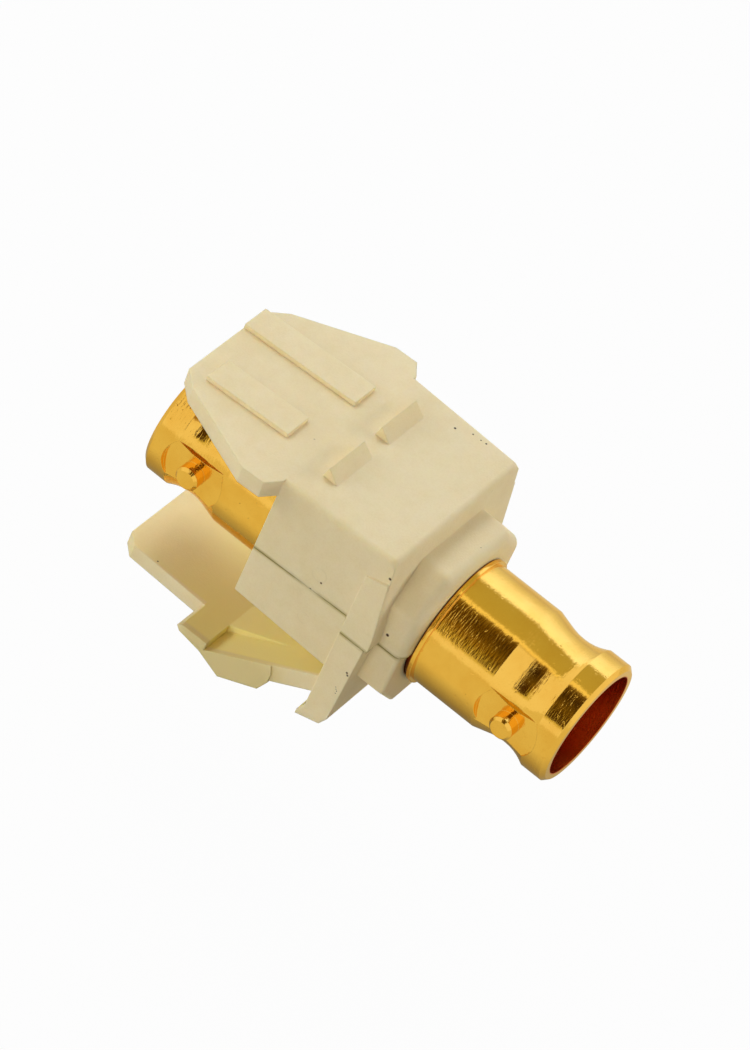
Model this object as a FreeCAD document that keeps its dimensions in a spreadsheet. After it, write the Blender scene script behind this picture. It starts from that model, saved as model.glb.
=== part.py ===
import FreeCAD, Part
import os
import re
import Sketcher

# BNC keystone jack: two moulded housing halves closed round a turned double-ended barrel.
# Millimetres. +Z is up, the front mouth looks along -Y and +X is to the right of someone behind it.
# The origin is on the barrel's axis, level with the front edge of the housing's top plate.

SIZES = {
    # housing, both halves
    "front_half": 7.4,
    "rear_half": 7.8,
    "body_end": 9.4,
    "top_height": 8.1,
    "wall": 1.3,
    "wall_seam": 1.5,
    "edge_round": 0.45,
    # front flange
    "flange_half": 7.6,
    "flange_back": 1.5,
    "flange_swell": 0.85,
    "swell_rise": 1.0,
    "ridge_height": 6.2,
    "ridge_slope": 0.5,
    "seam_step": 0.25,
    "lip_depth": 8.2,
    "lip_lean": 0.25,
    "lip_heel": 0.4,
    "lip_drop": 0.6,
    # square collar with cut corners round the barrel
    "collar_half": 6.25,
    "collar_flat": 3.6,
    "collar_reach": 2.05,
    "collar_blend": 0.9,
    "collar_edge": 0.8,
    "collar_low_edge": 0.3,
    # tail plate with its two low ribs
    "tail_end": 20.0,
    "tail_half": 9.0,
    "tail_shoulder": 12.0,
    "tail_tip_half": 5.7,
    "tail_thick": 1.35,
    "tail_tilt": 3.4,
    "tail_corner": 1.3,
    "tail_neck": 0.8,
    "rib_height": 0.35,
    "rib_inner": 1.9,
    "rib_outer": 4.3,
    "rib_long_start": 10.5,
    "rib_short_start": 11.7,
    "rib_short_end": 18.6,
    # two ramps on the top plate
    "ramp_inner": 1.0,
    "ramp_outer": 5.1,
    "ramp_foot": 6.8,
    "ramp_crest": 7.8,
    "ramp_heel": 8.05,
    "ramp_height": 0.9,
    # lower half
    "wall_low_front": 3.6,
    "wall_low_rear": 2.8,
    "cradle_wall": 1.05,
    "peg_radius": 0.5,
    "peg_length": 1.1,
    "peg_play": 0.05,
    "peg_inset": 1.3,
    # latch arm, one moulding with the lower half
    "arm_half": 7.4,
    "arm_top": 4.75,
    "arm_thick": 1.55,
    "bend_back": 4.85,
    "bend_drop": 6.8,
    "catch_half": 7.5,
    "catch_step": 1.1,
    "catch_blend": 0.25,
    "catch_low_back": 8.05,
    "catch_low": 10.95,
    "catch_rise_back": 10.0,
    "catch_rise": 10.1,
    "ear_front": 9.7,
    "ear_back": 11.9,
    "ear_pocket": 0.65,
    "ear_nose": 0.3,
    "thumb_half": 4.8,
    "thumb_tip_half": 4.5,
    "thumb_drop": 9.1,
    "thumb_end": 19.4,
    "thumb_thick": 1.2,
    "thumb_corner": 0.9,
    # turned barrel
    "barrel_radius": 4.85,
    "front_mouth": 14.6,
    "rear_mouth": 20.5,
    "mouth_bore": 4.06,
    "bore_depth": 9.0,
    "core_bore": 3.3,
    "rim_edge": 0.3,
    "ring_length": 1.9,
    "ring_slope": 1.0,
    "waist_radius": 4.35,
    "waist_length": 1.5,
    "waist_blend": 3.5,
    "cone_length": 1.8,
    "bead_radius": 5.1,
    "bead_width": 0.35,
    "collar_gap": 0.05,
    "stop_radius": 5.3,
    "stop_width": 2.0,
    "barrel_play": 0.05,
    # bayonet lugs on their milled spots
    "lug_back": 3.85,
    "lug_radius": 0.9,
    "lug_span": 5.5,
    "lug_edge": 0.2,
    "spot_radius": 2.5,
    "spot_height": 4.5,
    "boss_half": 2.4,
    "boss_tall": 1.75,
    "boss_neck": 1.4,
    "boss_neck_half": 0.6,
    # insulators and the centre contact
    "nose_back": 4.4,
    "nose_radius": 2.45,
    "contact_radius": 1.05,
    "contact_back": 4.8,
    "contact_bore": 0.68,
    "contact_depth": 5.0,
    "contact_collar": 1.7,
    "collar_length": 1.2,
    "slot_width": 0.2,
    "slot_depth": 4.0,
    "contact_edge": 0.15,
}

ALIAS = re.compile(r"\b(" + "|".join(SIZES) + r")\b")

doc = FreeCAD.newDocument("KeystoneJack")
sheet = doc.addObject("Spreadsheet::Sheet", "Sizes")
for row, (alias, size) in enumerate(SIZES.items(), start=1):
    sheet.set(f"A{row}", alias)
    sheet.set(f"B{row}", str(size))
    sheet.setAlias(f"B{row}", alias)
doc.recompute()


def tied(text):
    """An expression on the sheet's cells: each alias in the text gets the sheet's name."""
    return ALIAS.sub(r"Sizes.\1", text)


def value(text):
    """The number that an expression on the sheet's cells has now."""
    return float(sheet.evalExpression(text))


def bind(thing, path, text):
    thing.setExpression(path, tied(text))


def origin_plane(body, role):
    return next(plane for plane in body.Origin.OriginFeatures if plane.Role == role)


def new_sketch(body, name, role, lift):
    """An empty sketch on one of the body's own planes, lifted along that plane's normal."""
    sketch = body.newObject("Sketcher::SketchObject", name)
    sketch.AttachmentSupport = [(origin_plane(body, role), "")]
    sketch.MapMode = "FlatFace"
    bind(sketch, ".AttachmentOffset.Base.z", lift)
    return sketch


def place_point(sketch, edge, end, across, up):
    """Ties one end of an edge to two expressions, measured from the sketch's origin."""
    for kind, text in (("DistanceX", across), ("DistanceY", up)):
        number = sketch.addConstraint(Sketcher.Constraint(kind, -1, 1, edge, end, value(text)))
        bind(sketch, f"Constraints[{number}]", text)


def polygon(body, name, role, points, lift="0"):
    """A closed outline of straight edges through points given as pairs of expressions."""
    sketch = new_sketch(body, name, role, lift)
    spots = [FreeCAD.Vector(value(across), value(up), 0) for across, up in points]
    for start, finish in zip(spots, spots[1:] + spots[:1]):
        sketch.addGeometry(Part.LineSegment(start, finish))
    for edge in range(len(spots)):
        sketch.addConstraint(Sketcher.Constraint("Coincident", edge, 2, (edge + 1) % len(spots), 1))
    for edge, (across, up) in enumerate(points):
        place_point(sketch, edge, 1, across, up)
    return sketch


def mirrored(points):
    """A right half outline, from bottom to top, closed by its own mirror image."""
    return points + [("-(" + across + ")", up) for across, up in reversed(points)]


def rectangle(left, right, low, high):
    return [(left, low), (right, low), (right, high), (left, high)]


def ring(body, name, role, across, up, radius, lift="0"):
    """A circle whose centre and radius are expressions."""
    sketch = new_sketch(body, name, role, lift)
    centre = FreeCAD.Vector(value(across), value(up), 0)
    sketch.addGeometry(Part.Circle(centre, FreeCAD.Vector(0, 0, 1), value(radius)))
    place_point(sketch, 0, 3, across, up)
    number = sketch.addConstraint(Sketcher.Constraint("Radius", 0, value(radius)))
    bind(sketch, f"Constraints[{number}]", radius)
    return sketch


def sweep(body, kind, sketch, length, symmetric, backwards):
    feature = body.newObject("PartDesign::" + kind, kind + sketch.Name)
    feature.Profile = sketch
    if symmetric:
        feature.SideType = "Symmetric"
    feature.Reversed = backwards
    bind(feature, "Length", length)
    return feature


def pad(body, sketch, length, symmetric=False, backwards=False):
    return sweep(body, "Pad", sketch, length, symmetric, backwards)


def pocket(body, sketch, length, symmetric=False, backwards=False):
    return sweep(body, "Pocket", sketch, length, symmetric, backwards)


def turn(body, kind, sketch):
    """A full turn of a half section about the barrel's axis, which is the sketch's vertical axis."""
    feature = body.newObject("PartDesign::" + kind, kind + sketch.Name)
    feature.Profile = sketch
    feature.ReferenceAxis = (sketch, ["V_Axis"])
    feature.Angle = 360
    return feature


def dress(body, kind, name, size_name, size, wanted):
    """A fillet or chamfer on the edges of the body's tip that the test picks out."""
    doc.recompute()
    tip = body.Tip
    edges = [f"Edge{number}" for number, edge in enumerate(tip.Shape.Edges, start=1) if wanted(edge)]
    feature = body.newObject("PartDesign::" + kind, name)
    feature.Base = (tip, edges)
    bind(feature, size_name, size)
    return feature


ACROSS = FreeCAD.Vector(1, 0, 0)
TOLERANCE = 0.01


def new_body(name):
    body = doc.addObject("PartDesign::Body", name)
    body.Label = name
    return body


# Plan of the body's walls: narrower in front, so that it passes through the panel from behind.
BODY_PLAN = mirrored([("front_half", "0"), ("rear_half", "body_end")])
CAVITY_PLAN = mirrored([("front_half - wall", "flange_back"), ("rear_half - wall", "body_end - wall")])
BORE = "barrel_radius + barrel_play"
COLLAR_CORNER = [("collar_half", "0"), ("collar_half", "collar_flat"), ("collar_flat", "collar_half")]


def upper_housing():
    body = new_body("upper_housing")
    walls = polygon(body, "UpperWalls", "XY_Plane", BODY_PLAN, "wall_seam")
    pad(body, walls, "top_height - wall_seam")

    # The flange swells forward from the top edge down to the seam.
    front = polygon(body, "UpperFlange", "YZ_Plane", [
        ("0", "top_height"),
        ("-flange_swell", "swell_rise"),
        ("-flange_swell", "0"),
        ("flange_back", "0"),
        ("flange_back", "top_height"),
    ])
    pad(body, front, "2 * front_half", symmetric=True)
    dress(body, "Fillet", "TopEdges", "Radius", "edge_round", is_top_edge)
    cheeks = polygon(body, "UpperCheeks", "YZ_Plane", [
        ("-flange_swell * (top_height - ridge_height) / top_height", "ridge_height"),
        ("-flange_swell", "swell_rise"),
        ("-flange_swell", "0"),
        ("flange_back", "0"),
        ("flange_back", "ridge_height - ridge_slope"),
    ])
    pad(body, cheeks, "2 * flange_half", symmetric=True)

    collar = polygon(body, "UpperCollar", "XZ_Plane", mirrored(COLLAR_CORNER))
    pad(body, collar, "flange_swell + collar_reach")
    dress(body, "Fillet", "UpperBlend", "Radius", "collar_blend", is_collar_corner)
    dress(body, "Fillet", "UpperRim", "Radius", "collar_edge", is_collar_rim)

    # The tail leans down a little behind the body, and the ribs stand on it.
    tail = polygon(body, "Tail", "XY_Plane", mirrored([
        ("rear_half", "body_end"),
        ("tail_half", "body_end + tail_neck"),
        ("tail_half", "tail_shoulder"),
        ("tail_tip_half", "tail_end - tail_corner"),
        ("tail_tip_half - tail_corner", "tail_end"),
    ]))
    lean_tail(tail)
    pad(body, tail, "tail_thick", backwards=True)
    for name, left, right, start, end in (
        ("LongRib", "rib_inner", "rib_outer", "rib_long_start", "tail_end"),
        ("ShortRib", "-rib_outer", "-rib_inner", "rib_short_start", "rib_short_end"),
    ):
        rib = polygon(body, name, "XY_Plane", rectangle(left, right, start, end))
        lean_tail(rib)
        pad(body, rib, "rib_height")

    # Each ramp rises towards the rear and ends in a steep heel.
    ramp = [
        ("ramp_foot", "top_height"),
        ("ramp_heel", "top_height"),
        ("ramp_crest", "top_height + ramp_height"),
    ]
    for name, sign in (("RightRamp", ""), ("LeftRamp", "-")):
        wedge = polygon(body, name, "YZ_Plane", ramp, sign + "(ramp_inner + ramp_outer) / 2")
        pad(body, wedge, "ramp_outer - ramp_inner", symmetric=True)

    cavity = polygon(body, "UpperCavity", "XY_Plane", CAVITY_PLAN, "wall_seam")
    pocket(body, cavity, "top_height - wall - wall_seam", backwards=True)
    bore = ring(body, "UpperBore", "XZ_Plane", "0", "0", BORE, "flange_swell + collar_reach")
    pocket(body, bore, "flange_swell + collar_reach + body_end")
    for name, side, place in PEG_PLACES:
        socket = ring(body, "Socket" + name, "XY_Plane", side, place, "peg_radius + peg_play", "wall_seam")
        pocket(body, socket, "peg_length + peg_play", backwards=True)
    return body


def lean_tail(sketch):
    """Tilts a sketch of the tail about the body's top rear edge."""
    turned = FreeCAD.Rotation(-ACROSS, value("tail_tilt"))
    sketch.AttachmentOffset = FreeCAD.Placement(FreeCAD.Vector(0, 0, 0), turned)
    bind(sketch, ".AttachmentOffset.Base.y", "body_end * (1 - cos(tail_tilt * 1 deg))")
    bind(sketch, ".AttachmentOffset.Base.z", "top_height + body_end * sin(tail_tilt * 1 deg)")
    bind(sketch, ".AttachmentOffset.Rotation.Angle", "tail_tilt")


def close(first, second):
    """True where two lengths are the same to a hundredth of a millimetre."""
    return abs(first - second) < TOLERANCE


def is_top_edge(edge):
    """The body's long top edges in front and at the sides, up to where the tail begins."""
    middle = edge.CenterOfMass
    return close(middle.z, value("top_height")) and not close(middle.y, value("body_end"))


def is_collar_corner(edge):
    """An edge along the collar, where a cut corner meets a flat."""
    middle = edge.CenterOfMass
    corner = sorted((abs(middle.x), abs(middle.z)))
    half, flat = value("collar_half"), value("collar_flat")
    return middle.y < -value("flange_swell") and close(corner[0], flat) and close(corner[1], half)


def is_collar_rim(edge):
    """An edge round the collar's front face, away from the seam."""
    front = edge.BoundBox
    reach = -value("flange_swell + collar_reach")
    in_front = close(front.YMax, front.YMin) and front.YMax < reach + value("seam_step") + TOLERANCE
    return in_front and not close(edge.CenterOfMass.z, 0)


# Two pegs join the halves in the rear wall, one on each side of the barrel.
PEG_PLACES = (
    ("Right", "rear_half - peg_inset", "body_end - wall / 2"),
    ("Left", "-(rear_half - peg_inset)", "body_end - wall / 2"),
)


def lower_housing():
    body = new_body("lower_housing")
    cradle = ring(body, "Cradle", "XZ_Plane", "0", "0", BORE + " + cradle_wall", "-flange_back")
    pad(body, cradle, "body_end - flange_back", backwards=True)
    half_plan = rectangle("-rear_half", "rear_half", "0", "body_end")
    half = polygon(body, "CradleHalf", "XY_Plane", half_plan, "wall_seam")
    pocket(body, half, "top_height", backwards=True)

    walls = polygon(body, "LowerWalls", "YZ_Plane", [
        ("flange_back / 2", "-wall_low_front"),
        ("body_end", "-wall_low_rear"),
        ("body_end", "wall_seam"),
        ("flange_back", "wall_seam"),
        ("flange_back", "-seam_step"),
        ("flange_back / 2", "-seam_step"),
    ])
    pad(body, walls, "2 * rear_half", symmetric=True)
    for name, sign in (("Right", ""), ("Left", "-")):
        taper = polygon(body, "Taper" + name, "XY_Plane", [
            (sign + "(front_half)", "0"),
            (sign + "(rear_half)", "body_end"),
            (sign + "(rear_half + wall)", "body_end"),
            (sign + "(rear_half + wall)", "0"),
        ], "wall_seam")
        pocket(body, taper, "2 * (wall_seam + wall_low_front)", symmetric=True)

    lip = polygon(body, "LowerFlange", "YZ_Plane", [
        ("seam_step - flange_swell", "0"),
        ("seam_step - flange_swell + lip_lean", "-(lip_depth - 2 * lip_heel)"),
        ("seam_step - flange_swell + lip_lean + lip_heel", "-lip_depth"),
        ("flange_back + lip_heel", "-(lip_depth + lip_drop)"),
        ("flange_back + lip_heel", "-(lip_depth + lip_drop - lip_heel)"),
        ("flange_back", "-(lip_depth - lip_drop)"),
        ("flange_back", "0"),
    ])
    pad(body, lip, "2 * flange_half", symmetric=True)
    collar = polygon(body, "LowerCollar", "XZ_Plane",
                     mirrored([(across, "-(" + up + ")") for across, up in COLLAR_CORNER]))
    pad(body, collar, "flange_swell + collar_reach - seam_step")
    dress(body, "Fillet", "LowerRim", "Radius", "collar_low_edge", is_collar_rim)

    latch_arm(body)

    cavity = polygon(body, "LowerCavity", "XY_Plane", CAVITY_PLAN, "wall_seam")
    pocket(body, cavity, "wall_seam + wall_low_rear - wall")
    bore = ring(body, "LowerBore", "XZ_Plane", "0", "0", BORE, "flange_swell + collar_reach")
    pocket(body, bore, "flange_swell + collar_reach + body_end")

    # The barrel's stop ring sits in a groove of the cradle, against the flange.
    groove = ring(body, "StopGroove", "XZ_Plane", "0", "0", "stop_radius + barrel_play", "-flange_back")
    pocket(body, groove, "stop_width + 2 * collar_gap")
    for name, side, place in PEG_PLACES:
        peg = ring(body, "Peg" + name, "XY_Plane", side, place, "peg_radius", "wall_seam")
        pad(body, peg, "peg_length")
    return body


def latch_arm(body):
    """The sprung arm: a sloping root, the catch with its two ears, and the thumb plate."""
    root = polygon(body, "ArmRoot", "YZ_Plane", [
        ("flange_back / 2", "-arm_top"),
        ("flange_back", "-arm_top"),
        ("bend_back", "-bend_drop"),
        ("bend_back", "-(bend_drop + arm_thick)"),
        ("flange_back", "-(arm_top + arm_thick)"),
        ("flange_back / 2", "-(arm_top + arm_thick)"),
    ])
    pad(body, root, "2 * arm_half", symmetric=True)
    catch = polygon(body, "Catch", "YZ_Plane", [
        ("bend_back", "-bend_drop"),
        ("ear_front", "-(thumb_drop + ear_pocket)"),
        ("ear_front", "-thumb_drop"),
        ("ear_back", "-thumb_drop"),
        ("ear_back + ear_nose", "-(thumb_drop + ear_nose)"),
        ("ear_back", "-(thumb_drop + ear_pocket)"),
        ("catch_rise_back", "-catch_rise"),
        ("catch_low_back", "-catch_low"),
        ("bend_back + catch_blend", "-(bend_drop + arm_thick + catch_step)"),
        ("bend_back - catch_blend", "-(bend_drop + arm_thick)"),
        ("bend_back - catch_blend", "-(bend_drop + arm_thick / 2)"),
    ])
    pad(body, catch, "2 * catch_half", symmetric=True)
    plate = polygon(body, "Plate", "YZ_Plane", [
        ("bend_back", "-bend_drop"),
        ("ear_front", "-thumb_drop"),
        ("ear_back", "-thumb_drop"),
        ("ear_back", "-(thumb_drop + thumb_thick)"),
        ("ear_front", "-(thumb_drop + thumb_thick)"),
        ("bend_back", "-(bend_drop + thumb_thick)"),
    ])
    pad(body, plate, "2 * thumb_half", symmetric=True)
    thumb = polygon(body, "Thumb", "XY_Plane", mirrored([
        ("thumb_half", "ear_back - wall"),
        ("thumb_tip_half", "thumb_end - thumb_corner"),
        ("thumb_tip_half - thumb_corner", "thumb_end"),
    ]), "-thumb_drop")
    pad(body, thumb, "thumb_thick", backwards=True)


def barrel_end(mouth, way):
    """Half section of one jack, from the mouth inwards. way is + or - along the axis."""
    def at(radius, back):
        return (radius, way + "(" + mouth + " - (" + back + "))")

    return [
        at("mouth_bore", "0"),
        at("barrel_radius - rim_edge", "0"),
        at("barrel_radius", "rim_edge"),
        at("barrel_radius", "ring_length"),
        at("waist_radius", "ring_length + ring_slope"),
        at("waist_radius", "ring_length + ring_slope + waist_length"),
        at("barrel_radius", "ring_length + ring_slope + waist_length + cone_length"),
    ]


def coupler_shell():
    body = new_body("coupler_shell")
    front = barrel_end("front_mouth", "-")
    rear = barrel_end("rear_mouth", "")
    bead_back = "-(flange_swell + collar_reach + collar_gap)"
    bead_front = "-(flange_swell + collar_reach + collar_gap + bead_width)"
    middle = [
        ("barrel_radius", bead_front),
        ("bead_radius", bead_front),
        ("bead_radius", bead_back),
        ("barrel_radius", bead_back),
        ("barrel_radius", "flange_back + collar_gap"),
        ("stop_radius", "flange_back + collar_gap"),
        ("stop_radius", "flange_back + collar_gap + stop_width"),
        ("barrel_radius", "flange_back + collar_gap + stop_width"),
    ]
    blank = [("0", "-front_mouth")] + front[1:] + middle + rear[:0:-1] + [("0", "rear_mouth")]
    turn(body, "Revolution", polygon(body, "Blank", "XY_Plane", blank))
    dress(body, "Fillet", "WaistBlend", "Radius", "waist_blend", is_waist_corner)

    # Each lug stands on a flat boss that bridges the waist, and a round spot faces what is beside it.
    for name, place in (("Front", "-(front_mouth - lug_back)"), ("Rear", "rear_mouth - lug_back")):
        for side, way in (("Right", False), ("Left", True)):
            boss = polygon(body, "Boss" + name + side, "YZ_Plane", waisted(place))
            pad(body, boss, "spot_height", backwards=way)
            milled = ring(body, "Milled" + name + side, "YZ_Plane", place, "0", "spot_radius",
                          "-spot_height" if way else "spot_height")
            pocket(body, milled, "wall", backwards=not way)
            lug = ring(body, "Lug" + name + side, "YZ_Plane", place, "0", "lug_radius")
            pad(body, lug, "lug_span", backwards=way)
    dress(body, "Chamfer", "LugEdges", "Size", "lug_edge", is_lug_end)

    bore = [
        ("0", "-front_mouth"),
        ("mouth_bore", "-front_mouth"),
        ("mouth_bore", "-(front_mouth - bore_depth)"),
        ("core_bore", "-(front_mouth - bore_depth)"),
        ("core_bore", "rear_mouth - bore_depth"),
        ("mouth_bore", "rear_mouth - bore_depth"),
        ("mouth_bore", "rear_mouth"),
        ("0", "rear_mouth"),
    ]
    turn(body, "Groove", polygon(body, "Bore", "XY_Plane", bore))
    return body


def is_waist_corner(edge):
    """A round edge at either end of a waist's floor."""
    return isinstance(edge.Curve, Part.Circle) and close(edge.Curve.Radius, value("waist_radius"))


def waisted(place):
    """The boss's outline, narrow in the middle and taller at both ends."""
    low = [
        (place + " - boss_half", "-boss_tall"),
        (place + " - boss_neck_half", "-boss_neck"),
        (place + " + boss_neck_half", "-boss_neck"),
        (place + " + boss_half", "-boss_tall"),
    ]
    return low + [(along, "-(" + up + ")") for along, up in reversed(low)]


def is_lug_end(edge):
    """The round edge at the outer end of a lug."""
    if not isinstance(edge.Curve, Part.Circle):
        return False
    return close(abs(edge.CenterOfMass.x), value("lug_span"))


CENTRE = "(rear_mouth - front_mouth) / 2"


def insulator(name, mouth, way):
    """One plastic bush: its body fills the core, its nose carries the contact in the mouth."""
    body = new_body(name)

    def at(radius, back):
        return (radius, way + "(" + mouth + " - (" + back + "))")

    half = "(front_mouth + rear_mouth) / 2"
    section = [
        at("contact_radius", "nose_back"),
        at("nose_radius", "nose_back"),
        at("nose_radius", "bore_depth"),
        at("core_bore", "bore_depth"),
        at("core_bore", half),
        at("contact_collar", half),
        at("contact_collar", half + " - collar_length / 2"),
        at("contact_radius", half + " - collar_length / 2"),
    ]
    turn(body, "Revolution", polygon(body, "Section" + name, "XY_Plane", section))
    return body


def centre_contact():
    body = new_body("centre_contact")
    front = "-(front_mouth - contact_back)"
    rear = "rear_mouth - contact_back"
    rod = [
        ("0", front),
        ("contact_radius - contact_edge", front),
        ("contact_radius", front + " + contact_edge"),
        ("contact_radius", CENTRE + " - collar_length / 2"),
        ("contact_collar", CENTRE + " - collar_length / 2"),
        ("contact_collar", CENTRE + " + collar_length / 2"),
        ("contact_radius", CENTRE + " + collar_length / 2"),
        ("contact_radius", rear + " - contact_edge"),
        ("contact_radius - contact_edge", rear),
        ("0", rear),
    ]
    turn(body, "Revolution", polygon(body, "Rod", "XY_Plane", rod))

    # Each end is drilled for the plug's pin and slotted crosswise into four springy tines.
    for name, start, backwards in (
        ("Front", "front_mouth - contact_back", False),
        ("Rear", "-(" + rear + ")", True),
    ):
        drill = ring(body, "Drill" + name, "XZ_Plane", "0", "0", "contact_bore", start)
        pocket(body, drill, "contact_depth", backwards=backwards)
        for lie, half_width, half_height in (
            ("Level", "contact_collar", "slot_width / 2"),
            ("Upright", "slot_width / 2", "contact_collar"),
        ):
            slot = polygon(body, "Slot" + name + lie, "XZ_Plane",
                           rectangle("-" + half_width, half_width, "-" + half_height, half_height), start)
            pocket(body, slot, "slot_depth", backwards=backwards)
    return body


def check_document():
    """Stops if any object failed, or a piece is not one valid solid."""
    doc.recompute()
    for thing in doc.Objects:
        if {"Invalid", "Error"} & set(thing.State):
            raise RuntimeError(thing.Name + " failed: " + ", ".join(thing.State))


pieces = [
    upper_housing(),
    lower_housing(),
    coupler_shell(),
    insulator("front_insulator", "front_mouth", "-"),
    insulator("rear_insulator", "rear_mouth", ""),
    centre_contact(),
]
check_document()
os.makedirs("parts", exist_ok=True)
for piece in pieces:
    shape = piece.Shape
    if shape.isNull() or not shape.isValid() or len(shape.Solids) != 1:
        raise RuntimeError(piece.Label + " is not one valid solid")
    shape.exportStep(f"parts/{piece.Label}.step")
    box = shape.optimalBoundingBox()
    lengths = f"{box.XLength:.2f} x {box.YLength:.2f} x {box.ZLength:.2f} mm"
    print(f"{piece.Label}: {shape.Volume:.1f} mm3, {lengths}")
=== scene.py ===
import math

import bpy
from mathutils import Matrix, Vector


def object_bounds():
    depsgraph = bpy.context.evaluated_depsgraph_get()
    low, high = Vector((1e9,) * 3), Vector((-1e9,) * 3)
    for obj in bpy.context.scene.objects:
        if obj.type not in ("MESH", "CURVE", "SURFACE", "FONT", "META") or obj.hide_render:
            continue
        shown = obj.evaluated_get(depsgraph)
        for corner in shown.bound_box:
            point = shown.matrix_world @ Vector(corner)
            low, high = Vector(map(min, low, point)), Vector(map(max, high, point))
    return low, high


# BNC keystone jack: finishes, small moulding marks, studio and camera.
# The frame is in metres. Lengths below are millimetres, and MM turns them into metres.
# X points to the jack's right, Y along the barrel from the front mouth to the rear one, Z up.

MM = 0.001

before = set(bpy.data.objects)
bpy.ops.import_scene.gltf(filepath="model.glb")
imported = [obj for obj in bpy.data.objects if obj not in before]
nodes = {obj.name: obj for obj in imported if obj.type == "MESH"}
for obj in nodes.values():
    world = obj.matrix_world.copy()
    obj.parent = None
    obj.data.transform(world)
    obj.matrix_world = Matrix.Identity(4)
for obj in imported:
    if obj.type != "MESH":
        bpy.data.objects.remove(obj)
cad_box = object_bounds()

# Finishes, as linear colours
IVORY = (0.93, 0.785, 0.475)
IVORY_SHADE = (0.85, 0.69, 0.36)
DIRT = (0.075, 0.032, 0.006)
STAIN = (0.50, 0.38, 0.17)
# Painted shade and warm bounced light in the hollow under the latch arm, and painted shade on the arm's
# side
HOLLOW_PAINTED_SHADE = (0.89, 0.75, 0.27)
ARM_SIDE_PAINTED_SHADE = (0.74, 0.60, 0.27)
# The joint's stain and dark line: partly dirt, partly painted shade of the gap between the halves
SEAM_STAIN_AND_SHADE = (0.52, 0.40, 0.11)
SEAM_LINE_AND_SHADE = (0.26, 0.17, 0.035)
# Painted light: the warm light that the gold throws on the collar
PAINTED_GOLD_BOUNCE = (1.0, 0.83, 0.36)
GOLD = (0.96, 0.57, 0.10)
GOLD_DEEP = (0.86, 0.44, 0.05)
# Painted shade and bounced reflection inside the bore
BORE_PAINTED_SHADE = (0.70, 0.075, 0.002)
GOLD_EDGE = (0.98, 0.90, 0.74)
GOLD_PIT = (0.36, 0.15, 0.02)
# Painted shade in the gap where the barrel's bead meets the collar
GAP_PAINTED_SHADE = (0.20, 0.03, 0.002)
INSULATOR = (0.80, 0.77, 0.68)
BLACK = (0.0, 0.0, 0.0)
WHITE = (1.0, 1.0, 1.0)

# Noise patterns: how many repeats to a metre, their detail and their roughness
CLOUDS = (160.0, 4.0, 0.55)
MOTTLE = (900.0, 3.0, 0.55)
GRAIN = (7000.0, 2.0, 0.55)
SMEARS = (340.0, 5.0, 0.70)
SCUFFS = (620.0, 2.0, 0.55)
SEAM_BREAKS = (260.0, 3.0, 0.55)
GATE_TEAR = (3500.0, 2.0, 0.55)
RINGS = (1500.0, 4.0, 0.60)
STREAKS = (1500.0, 2.0, 0.60)
STREAK_PATCHES = (380.0, 2.0, 0.55)
WAVES = (120.0, 2.0, 0.55)
HAZE = (420.0, 4.0, 0.55)
SPOTS = (2600.0, 2.0, 0.55)
PIT_PATCHES = (210.0, 2.0, 0.55)
BUSH_RINGS = (1400.0, 3.0, 0.55)
BUSH_CLOUDS = (500.0, 4.0, 0.55)
# Scattered dots: how many cells to a metre, and a dot's edge as parts of its cell
DUST_CELLS = 520.0
DUST_EDGE = (0.035, 0.06)
PIT_CELLS = 950.0
PIT_EDGE = (0.03, 0.07)

# Levels of a noise between which its mark fades in
TONE_LEVELS = (0.36, 0.64)
GRAIN_LEVELS = (0.40, 0.66)
SMEAR_LEVELS = (0.62, 0.80)
SCUFF_LEVELS = (0.66, 0.74)
DUST_LEVELS = (0.55, 0.66)
CORE_LEVELS = (0.30, 0.60)
SEAM_LEVELS = (0.28, 0.62)
GATE_LEVELS = (0.35, 0.60)
PATCH_LEVELS = (0.38, 0.66)
HAZE_LEVELS = (0.35, 0.75)
SPOT_LEVELS = (0.62, 0.75)
PIT_LEVELS = (0.48, 0.56)
BUSH_LEVELS = (0.35, 0.70)

# How much a noise is squeezed: scuffs run along the housing, turning marks around the barrel
SCUFF_SQUEEZE = (9.0, 1.2, 9.0)
RING_SQUEEZE = 8.0
STREAK_SQUEEZE = 4.5

# Small dark marks that the housing has: where they are and how far they reach
UPPER_SPECKS = (
    ((-7.45, -0.02, 6.69), 0.15),
    ((-6.25, -1.18, 1.23), 0.14),
    ((-7.56, 4.12, 2.54), 0.11),
    ((-7.60, 4.62, 1.50), 0.12),
    ((6.16, 4.83, 8.1), 0.10),
    ((6.77, 3.69, 8.1), 0.08),
    ((6.78, 3.01, 8.1), 0.07),
    ((6.83, 2.59, 8.1), 0.09),
    ((-3.30, -2.60, 5.3), 0.09),
    ((0.60, -2.20, 6.2), 0.07),
)
LOWER_SPECKS = (
    ((-7.60, -0.22, -2.62), 0.13),
    ((-7.60, -0.33, -2.78), 0.13),
    ((-7.60, 0.05, -4.35), 0.05),
    ((-7.60, -0.02, -4.50), 0.05),
    ((-7.60, -0.12, -4.62), 0.05),
    ((-7.60, -0.10, -4.85), 0.05),
    ((-4.31, 16.52, -9.1), 0.09),
)
# A speck is solid up to this share of its reach
SPECK_CORE = 0.45
# The round mark of a moulding gate on each half's left wall: its middle, radius and width
UPPER_GATE = ((-7.57, 4.45, 3.05), 0.55, 0.10)
LOWER_GATE = ((-7.60, 4.20, -1.10), 0.45, 0.08)

# The joint of the two halves, with a dark line and a stain that are partly dirt and partly painted shade:
# its height on the side walls, and how its line and its stain fade
SEAM_HEIGHT = 1.5
SEAM_CORE_FADE = (0.01, 0.06)
SEAM_STAIN_FADE = (0.03, 0.30)
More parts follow.
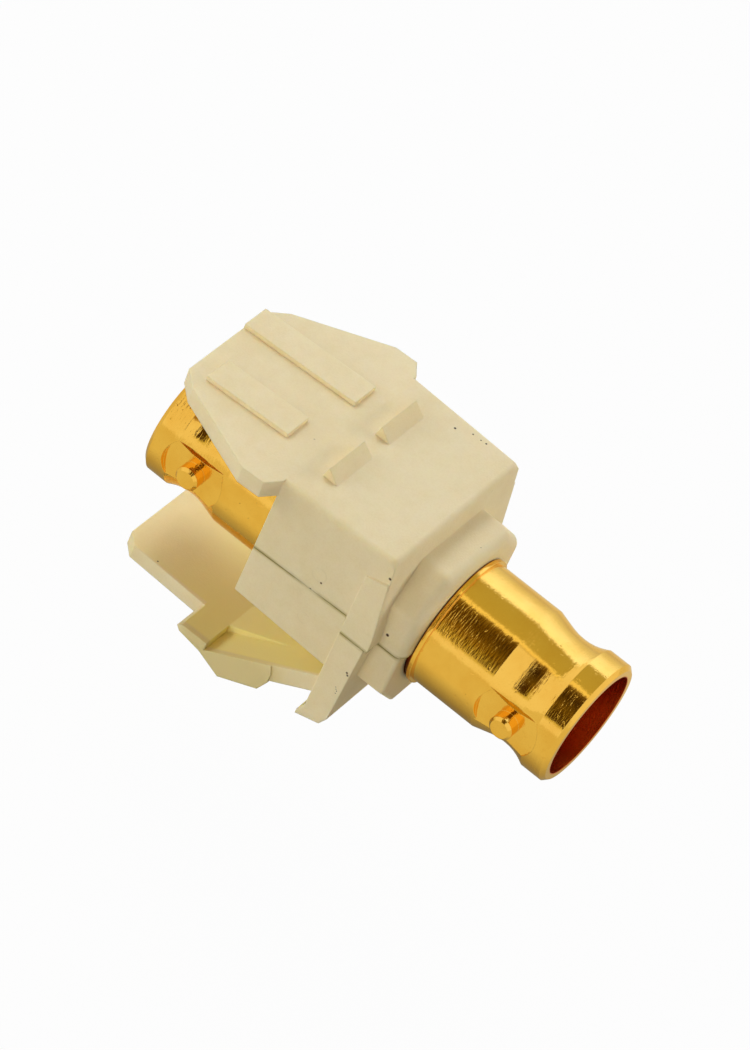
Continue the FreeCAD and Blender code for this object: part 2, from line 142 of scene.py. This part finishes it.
# Across the jack, where the side walls' outside is. Along it, where the flange and the collar end
WALL_OUTSIDE = (7.20, 7.35)
BEHIND_FLANGE = (1.5, 1.6)
COLLAR_END = (1.4, 1.5)
# Painted light that the gold throws on the collar: how far from the barrel's axis, and how far back
GOLD_BOUNCE_AROUND = (5.0, 6.6)
GOLD_BOUNCE_BACK = (-2.2, -1.2)
# The hollow under the jack, where shade and warm bounced light are painted: half widths of the latch arm's
# hollow and of its thumb plate, where the plate starts along Y, how soft the edges are, and where the
# hollow is deep, starts and ends
HOLLOW_HALF = 7.0
THUMB_HALF = 4.3
THUMB_START = 11.9
THUMB_STEP = 0.1
HOLLOW_EDGE = (0.0, 0.3)
HOLLOW_DEPTH = (2.5, 5.0)
HOLLOW_FRONT = (1.6, 1.8)
HOLLOW_BACK = (11.0, 23.0)
# The latch arm, whose outer side gets painted shade: its lower part, its start and its end along Y, and its
# outer side
ARM_DEPTH = (5.0, 8.5)
ARM_FRONT = (2.0, 5.0)
ARM_BACK = (11.0, 12.5)
ARM_OUTSIDE = (6.9, 7.2)

# The mouths' bore, whose inside gets a painted dark red for its shade and its many times bounced
# reflection, and how soft its edge is
BORE_RADIUS = 4.06
BORE_EDGE = 0.12
# Along Y, where the barrel's front bead meets the collar, and the edge and end from there of the gap's
# painted shade
GAP_FRONT = -3.05
GAP_EDGE = 0.08
GAP_END = (0.5, 0.6)

BEVEL_SAMPLES = 6
# A Mix node's numbers for its two colours, and for their mix
MIX_COLOURS = (6, 7)
MIX_RESULT = 2

# The plain floor: half its width, its drop below the jack, its own and its mirrored colour, and
# how white the camera sees it, so that only a faint shadow shows
FLOOR_HALF = 1500.0
FLOOR_DROP = 12.0
FLOOR = (0.48, 0.47, 0.46)
FLOOR_MIRRORED = (0.77, 0.74, 0.56)
FLOOR_WHITENESS = 0.97
# A painted shadow of the jack darkens the mirrored floor below it: the shadow's place, squeeze along Y,
# core, reach and tone
SHADOW_PLACE = (6.0, 6.0)
SHADOW_SQUEEZE = 0.6
SHADOW_CORE = 2.0
SHADOW_REACH = 36.0
SHADOW_TONE = 0.30

# Light of the surroundings: what falls on the plastic, rising with height, and what the gold mirrors
SKY = (0.97, 0.98, 1.0)
SKY_LIGHT = 0.29
SKY_LEVEL = 0.7
SKY_RISE = 0.3
MIRRORED = (1.0, 0.99, 0.96)
MIRRORED_LIGHT = 0.94

# Curved cards that only the gold mirrors. Each is part of a tube around the barrel's axis: its
# radius, its reach along Y, and its tones at angles from straight up towards the left, in degrees
CARD_STEPS = 24
CARDS = (
    ("overhead_card", 150.0, (-70.0, 130.0), (
        (-98.0, (0.62, 0.62, 0.60)),
        (-78.0, (0.85, 0.93, 1.05)),
        (-62.0, (1.15, 1.30, 1.90)),
        (-40.0, (1.30, 1.48, 2.20)),
        (-34.0, (0.49, 0.47, 0.23)),
        (4.0, (0.53, 0.50, 0.22)),
        (6.0, (1.05, 1.00, 0.70)),
        (11.0, (1.05, 1.00, 0.70)),
        (13.0, (0.22, 0.15, 0.02)),
    )),
    ("left_card", 150.0, (-30.0, 45.0), (
        (13.0, (0.22, 0.15, 0.02)),
        (26.0, (0.14, 0.085, 0.006)),
        (40.0, (0.15, 0.090, 0.006)),
        (54.0, (0.32, 0.22, 0.04)),
        (66.0, (0.56, 0.51, 0.20)),
        (78.0, (0.76, 0.72, 0.42)),
    )),
    ("ring_card", 140.0, (-30.0, 20.5), (
        (15.0, (0.10, 0.06, 0.010)),
        (30.0, (0.04, 0.022, 0.004)),
        (48.0, (0.12, 0.080, 0.010)),
        (60.0, (0.06, 0.030, 0.002)),
        (74.0, (0.06, 0.030, 0.002)),
    )),
)

# Soft boxes, all aimed at one point of the jack: place, width and height, power in watts, and colour
AIM = (0.0, 3.0, 0.0)
LAMPS = (
    ("key", (130.0, 190.0, 270.0), (150.0, 150.0), 0.485, (0.97, 0.985, 1.0)),
    ("rear_fill", (-150.0, 320.0, 110.0), (200.0, 160.0), 0.42, (0.98, 0.99, 1.0)),
    ("left_fill", (-330.0, 20.0, 70.0), (200.0, 160.0), 0.31, (1.0, 0.98, 0.99)),
    ("right_fill", (220.0, -260.0, 120.0), (160.0, 120.0), 0.51, (1.0, 0.98, 0.99)),
)

# The photograph's view: direction from the jack to the camera, its roll and its place
VIEW_AZIMUTH = math.radians(-71.74)
VIEW_ELEVATION = math.radians(43.59)
VIEW_ROLL = math.radians(25.46)
VIEW_PLACE = (-274.73, -85.68, 277.75)
# The picture's height and the focal length in pixels, the sensor's height, and the reach in metres
IMAGE_HEIGHT = 1050
FOCUS_PIXELS = 5957.8
SENSOR = 24.0
NEAREST = 0.01
FARTHEST = 20.0


class Wire:
    """One output of a node. Arithmetic on it adds Math nodes."""

    def __init__(self, finish, socket):
        self.finish = finish
        self.socket = socket

    def other(self, name):
        """Another output of the same node."""
        return Wire(self.finish, self.socket.node.outputs[name])

    def maths(self, operation, *values):
        return self.finish.node("ShaderNodeMath", {"operation": operation}, dict(enumerate(values)))

    def __add__(self, other):
        return self.maths("ADD", self, other)

    def __radd__(self, other):
        return self.maths("ADD", other, self)

    def __sub__(self, other):
        return self.maths("SUBTRACT", self, other)

    def __rsub__(self, other):
        return self.maths("SUBTRACT", other, self)

    def __mul__(self, other):
        return self.maths("MULTIPLY", self, other)

    def __rmul__(self, other):
        return self.maths("MULTIPLY", other, self)

    def __truediv__(self, other):
        return self.maths("DIVIDE", self, other)

    def __rtruediv__(self, other):
        return self.maths("DIVIDE", other, self)

    def __pow__(self, other):
        return self.maths("POWER", self, other)

    def __rpow__(self, other):
        return self.maths("POWER", other, self)

    def __neg__(self):
        return self.maths("MULTIPLY", self, -1.0)

    def __abs__(self):
        return self.maths("ABSOLUTE", self)

    def most(self, other):
        return self.maths("MAXIMUM", self, other)

    def turned_from(self, other):
        """The angle of a point from the other axis towards this one."""
        return self.maths("ARCTAN2", self, other)

    def fade(self, start, end):
        """0 at start and 1 at end, smooth between them."""
        return self.finish.node(
            "ShaderNodeMapRange",
            {"interpolation_type": "SMOOTHSTEP"},
            {"Value": self, "From Min": start, "From Max": end},
        )

    def fade_mm(self, start, end):
        """The same for a length, with start and end in millimetres."""
        return self.fade(start * MM, end * MM)


class Finish:
    """The node tree of a material or a world, filled node by node."""

    def __init__(self, owner):
        self.owner = owner
        self.owner.use_nodes = True
        self.tree = self.owner.node_tree
        self.tree.nodes.clear()

    def node(self, kind, settings=None, inputs=None, output=0):
        """Adds a node: first its settings, then the values or wires of its inputs."""
        added = self.tree.nodes.new(kind)
        for name, setting in (settings or {}).items():
            if name == "stops":
                self.set_stops(added.color_ramp, setting)
            else:
                setattr(added, name, setting)
        for name, given in (inputs or {}).items():
            if isinstance(given, Wire):
                self.tree.links.new(given.socket, added.inputs[name])
            else:
                added.inputs[name].default_value = given
        return Wire(self, added.outputs[output]) if added.outputs else None

    @staticmethod
    def set_stops(ramp, stops):
        while len(ramp.elements) < len(stops):
            ramp.elements.new(0.5)
        for element, (position, colour) in zip(ramp.elements, stops):
            element.position = position
            element.color = opaque(colour)

    def place(self):
        """The point on the object, in metres, in the frame's own axes."""
        return self.node("ShaderNodeTexCoord", output="Object")

    def axes(self, place):
        """The three coordinates of a point."""
        split = self.node("ShaderNodeSeparateXYZ", inputs={"Vector": place})
        return tuple(split.other(axis) for axis in "XYZ")

    def point(self, x, y, z):
        return self.node("ShaderNodeCombineXYZ", inputs={"X": x, "Y": y, "Z": z})

    def distance(self, place, centre):
        """How far a point is, in metres, from a fixed place given in millimetres."""
        fixed = tuple(number * MM for number in centre)
        return self.node(
            "ShaderNodeVectorMath",
            {"operation": "DISTANCE"},
            {0: place, 1: fixed},
            output="Value",
        )

    def noise(self, place, pattern):
        scale, detail, roughness = pattern
        return self.node(
            "ShaderNodeTexNoise",
            {"noise_dimensions": "3D"},
            {"Vector": place, "Scale": scale, "Detail": detail, "Roughness": roughness},
        )

    def dots(self, place, cells, edge):
        """1 in the middle of many scattered dots, 0 around them."""
        off_dot = self.node(
            "ShaderNodeTexVoronoi",
            {"feature": "F1"},
            {"Vector": place, "Scale": cells, "Randomness": 1.0},
            output="Distance",
        )
        return 1.0 - off_dot.fade(*edge)

    def blend(self, share, first, second):
        """The first colour where share is 0, the second where it is 1."""
        inputs = {0: share}
        for number, given in zip(MIX_COLOURS, (first, second)):
            inputs[number] = given if isinstance(given, Wire) else opaque(given)
        return self.node("ShaderNodeMix", {"data_type": "RGBA"}, inputs, output=MIX_RESULT)

    def layered(self, colour, *coats):
        """A colour with coats over it, each with its share and its colour, the last one on top."""
        for share, coat in coats:
            colour = self.blend(share, colour, coat)
        return colour

    def rounded(self, height, strength, depth, radius):
        """The surface's normal: softened edges and a bump on top, with millimetres for both."""
        soft = self.node("ShaderNodeBevel", {"samples": BEVEL_SAMPLES}, {"Radius": radius * MM})
        return self.node(
            "ShaderNodeBump",
            inputs={"Height": height, "Strength": strength, "Distance": depth * MM, "Normal": soft},
        )

    def rays(self):
        """1 for what the camera sees, straight or through glass, and 1 for what is mirrored."""
        path = self.node("ShaderNodeLightPath")
        seen = path.other("Is Camera Ray").most(path.other("Is Transmission Ray"))
        return seen, path.other("Is Glossy Ray")

    def shining(self, colour):
        """A shader that shows its colour as it is."""
        return self.node("ShaderNodeEmission", inputs={"Color": colour, "Strength": 1.0})

    def sky(self, colour, strength):
        return self.node("ShaderNodeBackground", inputs={"Color": opaque(colour), "Strength": strength})

    def either(self, share, first, second):
        """The first shader where share is 0, the second where it is 1."""
        return self.node("ShaderNodeMixShader", inputs={0: share, 1: first, 2: second})

    def close(self, shader):
        """Ends the tree with its output, and gives back the material or the world."""
        kind = "World" if isinstance(self.owner, bpy.types.World) else "Material"
        self.node("ShaderNodeOutput" + kind, inputs={"Surface": shader})
        return self.owner

    def surface(self, **inputs):
        """Ends a material with a Principled shader."""
        named = {name.replace("_", " "): given for name, given in inputs.items()}
        return self.close(self.node("ShaderNodeBsdfPrincipled", inputs=named))


def opaque(colour):
    return (*colour, 1.0)


def new_finish(name):
    return Finish(bpy.data.materials.new(name))


def off_barrel_axis(x, z):
    return (x * x + z * z) ** 0.5


def speck_marks(finish, place, mottle, specks):
    """The small dark specks, with uneven outlines."""
    marks = 0.0
    for centre, reach in specks:
        wobble = finish.distance(place, centre) + (mottle - 0.5) * reach * MM
        marks = (1.0 - wobble.fade_mm(reach * SPECK_CORE, reach)).most(marks)
    return marks


def gate_marks(finish, place, mottle, gate):
    """The moulding gate's ring, and the torn stub inside it."""
    middle, radius, width = gate
    off_middle = finish.distance(place, middle)
    ring = (1.0 - abs(off_middle - radius * MM).fade_mm(0.0, width)) * mottle.fade(*GATE_LEVELS)
    torn = (1.0 - off_middle.fade_mm(radius * 0.5, radius)) * finish.noise(place, GATE_TEAR)
    return ring, torn


def seam_marks(x, y, z, breaks):
    """The joint of the two halves, stained and given painted shade: high on the side walls, level with the
    axis in front.
    """
    side = abs(x).fade_mm(*WALL_OUTSIDE) * y.fade_mm(*BEHIND_FLANGE)
    front = 1.0 - y.fade_mm(*COLLAR_END)
    beside = side.most(front)
    off_seam = abs(z - SEAM_HEIGHT * MM * side)
    core = (1.0 - off_seam.fade_mm(*SEAM_CORE_FADE)) * beside * breaks.fade(*CORE_LEVELS)
    stain = (1.0 - off_seam.fade_mm(*SEAM_STAIN_FADE)) * beside * breaks.fade(*SEAM_LEVELS)
    return stain, core


def hollow_painted_shade(x, y, z):
    """Painted shade: the hollow between the latch arm's walls gets a deeper yellow painted for its shade
    and warm bounced light, and the arm's side a darker painted shade.
    """
    narrowing = (HOLLOW_HALF - THUMB_HALF) * MM * y.fade_mm(THUMB_START, THUMB_START + THUMB_STEP)
    half = HOLLOW_HALF * MM - narrowing
    hollow = (1.0 - (abs(x) - half).fade_mm(*HOLLOW_EDGE)) * (-z).fade_mm(*HOLLOW_DEPTH)
    hollow = hollow * (1.0 - y.fade_mm(*HOLLOW_BACK)) * y.fade_mm(*HOLLOW_FRONT)
    arm = (-z).fade_mm(*ARM_DEPTH) * y.fade_mm(*ARM_FRONT)
    arm = arm * (1.0 - y.fade_mm(*ARM_BACK))
    return hollow.most(arm * 0.6), arm * abs(x).fade_mm(*ARM_OUTSIDE)


def moulded(name, specks, gate):
    """Moulded ivory plastic: cloudy tone, fine grain, faint scuffs, dark specks, a joint that is partly
    stained and partly painted shade, painted shade in the hollow under the latch arm, and painted light
    from the gold on the collar.
    """
    finish = new_finish(name)
    place = finish.place()
    x, y, z = finish.axes(place)
    clouds = finish.noise(place, CLOUDS)
    mottle = finish.noise(place, MOTTLE)
    grain = finish.noise(place, GRAIN)
    tone = (clouds * 0.6 + mottle * 0.4).fade(*TONE_LEVELS)
    smears = finish.noise(place, SMEARS).fade(*SMEAR_LEVELS)
    across, along, upward = SCUFF_SQUEEZE
    squeezed = finish.point(x * across, y * along, z * upward)
    scuffs = finish.noise(squeezed, SCUFFS).fade(*SCUFF_LEVELS)

    specked = speck_marks(finish, place, mottle, specks)
    ring, torn = gate_marks(finish, place, mottle, gate)
    seam, core = seam_marks(x, y, z, finish.noise(squeezed, SEAM_BREAKS))
    dust = finish.dots(place, DUST_CELLS, DUST_EDGE) * clouds.fade(*DUST_LEVELS)
    # Painted light: a warm patch on the collar around the barrel, for the light the gold throws there
    gold_bounce = (1.0 - off_barrel_axis(x, z).fade_mm(*GOLD_BOUNCE_AROUND)) * (1.0 - y.fade_mm(*GOLD_BOUNCE_BACK))
    # Painted shade: the hollow under the latch arm, and the arm's outer side
    hollow, arm_side_shade = hollow_painted_shade(x, y, z)

    colour = finish.layered(
        IVORY,
        (tone * 0.45 + grain.fade(*GRAIN_LEVELS) * 0.22, IVORY_SHADE),
        (smears * 0.16, STAIN),
        # painted shade and bounced light in the hollow, painted shade on the arm's side
        (hollow, HOLLOW_PAINTED_SHADE),
        (arm_side_shade * 0.8, ARM_SIDE_PAINTED_SHADE),
        # painted light from the gold
        (gold_bounce * 0.5, PAINTED_GOLD_BOUNCE),
        (dust * 0.75 + ring * 0.10, STAIN),
        # the joint: partly dirt, partly painted shade
        (seam * 0.8, SEAM_STAIN_AND_SHADE),
        (core * 0.8, SEAM_LINE_AND_SHADE),
        (specked, DIRT),
    )
    height = grain + mottle * 0.6 - scuffs * 0.25 - specked * 2.0 - ring * 0.8 - torn * 3.0 - core
    return finish.surface(
        Base_Color=colour,
        Roughness=0.50 + grain * 0.14 + smears * 0.08 - scuffs * 0.10,
        Normal=finish.rounded(height, strength=0.26, depth=0.05, radius=0.14),
        IOR=1.48,
        Subsurface_Weight=0.30,
        Subsurface_Radius=(1.0, 0.70, 0.30),
        Subsurface_Scale=1.0 * MM,
    )


def plated(name):
    """Gold plating over turned brass: fine turning rings, polish haze and a little tarnish, with painted
    shade inside the bore and in the gap at the collar.
    """
    finish = new_finish(name)
    place = finish.place()
    x, y, z = finish.axes(place)
    around = finish.point(x, y * RING_SQUEEZE, z)
    rings = finish.noise(around, RINGS)
    waves = finish.noise(around, WAVES)
    streaks = finish.noise(finish.point(x, y * STREAK_SQUEEZE, z), STREAKS)
    patches = finish.noise(place, STREAK_PATCHES).fade(*PATCH_LEVELS)
    haze = finish.noise(place, HAZE)
    spots = finish.noise(place, SPOTS).fade(*SPOT_LEVELS)
    pits = finish.dots(place, PIT_CELLS, PIT_EDGE) * finish.noise(place, PIT_PATCHES).fade(*PIT_LEVELS)
    # Painted shade: the inside of the bore is painted dark red
    inside = 1.0 - off_barrel_axis(x, z).fade_mm(BORE_RADIUS, BORE_RADIUS + BORE_EDGE)
    # Painted shade: a dark band in the gap where the bead meets the collar
    gap_end = (GAP_FRONT + along for along in GAP_END)
    gap = y.fade_mm(GAP_FRONT, GAP_FRONT + GAP_EDGE) * (1.0 - y.fade_mm(*gap_end))

    colour = finish.layered(
        GOLD,
        (haze.fade(*HAZE_LEVELS) * 0.55 + spots * 0.15, GOLD_DEEP),
        (inside * 0.9, BORE_PAINTED_SHADE),
        (pits * 0.8, GOLD_PIT),
        (gap, GAP_PAINTED_SHADE),
    )
    height = streaks * (0.35 + patches * 0.65) + rings * 0.06 + waves * 0.2 - spots * 0.3 - pits * 0.6
    return finish.surface(
        Base_Color=colour,
        Metallic=1.0,
        Specular_Tint=opaque(GOLD_EDGE),
        Roughness=0.05 + rings * 0.07 + haze * 0.05 + spots * 0.08 + inside * 0.2,
        Normal=finish.rounded(height, strength=1.0, depth=0.018, radius=0.06),
    )


def pressed_bush(name):
    """The insulators' off-white plastic, slightly waxy, with turning marks."""
    finish = new_finish(name)
    place = finish.place()
    x, y, z = finish.axes(place)
    rings = finish.noise(finish.point(x, y * RING_SQUEEZE, z), BUSH_RINGS)
    clouds = finish.noise(place, BUSH_CLOUDS)
    return finish.surface(
        Base_Color=finish.blend(clouds.fade(*BUSH_LEVELS) * 0.4, INSULATOR, IVORY_SHADE),
        Roughness=0.38 + clouds * 0.12,
        Normal=finish.rounded(rings, strength=0.12, depth=0.04, radius=0.05),
    )


def dress_nodes():
    """Gives each CAD node its finish."""
    for material, dressed in (
        (moulded("upper housing plastic", UPPER_SPECKS, UPPER_GATE), ("upper_housing",)),
        (moulded("lower housing plastic", LOWER_SPECKS, LOWER_GATE), ("lower_housing",)),
        (plated("shell gold"), ("coupler_shell",)),
        (plated("contact gold"), ("centre_contact",)),
        (pressed_bush("insulator plastic"), ("front_insulator", "rear_insulator")),
    ):
        for node in dressed:
            materials = nodes[node].data.materials
            materials.clear()
            materials.append(material)


def add_to_scene(name, data):
    """An object of the studio, linked into the scene."""
    added = bpy.data.objects.new(name, data)
    bpy.context.scene.collection.objects.link(added)
    return added


def studio_sheet(name, corners, faces, material):
    mesh = bpy.data.meshes.new(name)
    mesh.from_pydata(corners, [], faces)
    mesh.materials.append(material)
    return add_to_scene(name, mesh)


def floor_finish():
    """White to the camera with a faint shadow, and pale with a painted shadow of the jack to the gold."""
    finish = new_finish("floor")
    seen, mirrored = finish.rays()
    x, y, _ = finish.axes(finish.place())
    # Painted shadow: the mirrored floor darkens in a soft spot below the jack
    across = x - SHADOW_PLACE[0] * MM
    along = (y - SHADOW_PLACE[1] * MM) * SHADOW_SQUEEZE
    away = (across ** 2.0 + along ** 2.0) ** 0.5
    tone = SHADOW_TONE + (1.0 - SHADOW_TONE) * away.fade_mm(SHADOW_CORE, SHADOW_REACH)
    matte = finish.node("ShaderNodeBsdfDiffuse", inputs={"Color": opaque(FLOOR)})
    pale = finish.shining(finish.blend(tone, BLACK, FLOOR_MIRRORED))
    lit = finish.either(mirrored, matte, pale)
    return finish.close(finish.either(seen * FLOOR_WHITENESS, lit, finish.shining(opaque(WHITE))))


def studio_floor():
    """A plain pale floor well below the held jack."""
    half = FLOOR_HALF * MM
    height = cad_box[0][2] - FLOOR_DROP * MM
    corners = [(-half, -half, height), (half, -half, height), (half, half, height), (-half, half, height)]
    floor = studio_sheet("studio_floor", corners, [(0, 1, 2, 3)], floor_finish())


def studio_world():
    """Surroundings: white to the camera, pale to the gold, soft light to the plastic."""
    world = bpy.data.worlds.new("studio")
    bpy.context.scene.world = world
    finish = Finish(world)
    seen, mirrored = finish.rays()
    _, _, upward = finish.axes(finish.node("ShaderNodeTexCoord", output="Generated"))
    soft = finish.sky(SKY, SKY_LIGHT * (SKY_LEVEL + upward * SKY_RISE))
    lit = finish.either(mirrored, soft, finish.sky(MIRRORED, MIRRORED_LIGHT))
    finish.close(finish.either(seen, lit, finish.sky(WHITE, 1.0)))


def card_finish(name, tones):
    """A card's tones, spread over the angle around the barrel's axis."""
    start, end = tones[0][0], tones[-1][0]
    finish = new_finish(name)
    x, _, z = finish.axes(finish.place())
    share = ((-x).turned_from(z) - math.radians(start)) / math.radians(end - start)
    stops = [((angle - start) / (end - start), tone) for angle, tone in tones]
    return finish.close(finish.shining(finish.node("ShaderNodeValToRGB", {"stops": stops}, {"Fac": share})))


def studio_cards():
    """Cards over and beside the camera. They shade the mirror image in the gold, and nothing else."""
    for name, radius, reach, tones in CARDS:
        start, end = tones[0][0], tones[-1][0]
        corners = []
        for step in range(CARD_STEPS + 1):
            angle = math.radians(start + (end - start) * step / CARD_STEPS)
            for along in reach:
                corners.append((-radius * math.sin(angle) * MM, along * MM, radius * math.cos(angle) * MM))
        faces = [(2 * step, 2 * step + 1, 2 * step + 3, 2 * step + 2) for step in range(CARD_STEPS)]
        card = studio_sheet(name, corners, faces, card_finish(name, tones))
        card.visible_camera = False
        card.visible_diffuse = False
        card.visible_shadow = False


def studio_lamps():
    """Soft boxes that light the plastic and don't show in the gold."""
    for name, position, (width, height), power, colour in LAMPS:
        lamp = bpy.data.lights.new(name, "AREA")
        lamp.shape = "RECTANGLE"
        lamp.size = width * MM
        lamp.size_y = height * MM
        lamp.energy = power
        lamp.color = colour
        holder = add_to_scene(name, lamp)
        holder.location = Vector(position) * MM
        beam = Vector(AIM) * MM - holder.location
        holder.rotation_euler = beam.to_track_quat("-Z", "Y").to_euler()
        holder.visible_glossy = False


def studio_camera():
    """A camera at the photograph's view."""
    data = bpy.data.cameras.new("view")
    data.sensor_fit = "VERTICAL"
    data.sensor_height = SENSOR
    data.lens = SENSOR * FOCUS_PIXELS / IMAGE_HEIGHT
    data.clip_start = NEAREST
    data.clip_end = FARTHEST
    back = Vector((
        math.sin(VIEW_AZIMUTH) * math.cos(VIEW_ELEVATION),
        -math.cos(VIEW_AZIMUTH) * math.cos(VIEW_ELEVATION),
        math.sin(VIEW_ELEVATION),
    ))
    level = Vector((math.cos(VIEW_AZIMUTH), math.sin(VIEW_AZIMUTH), 0.0))
    right = level * math.cos(VIEW_ROLL) + back.cross(level) * math.sin(VIEW_ROLL)
    up = back.cross(right)
    camera = add_to_scene("view", data)
    turned = Matrix((right, up, back)).transposed().to_4x4()
    camera.matrix_world = Matrix.Translation(Vector(VIEW_PLACE) * MM) @ turned
    bpy.context.scene.camera = camera


dress_nodes()
studio_floor()
studio_world()
studio_cards()
studio_lamps()
studio_camera()
bpy.context.scene.view_settings.view_transform = "Standard"
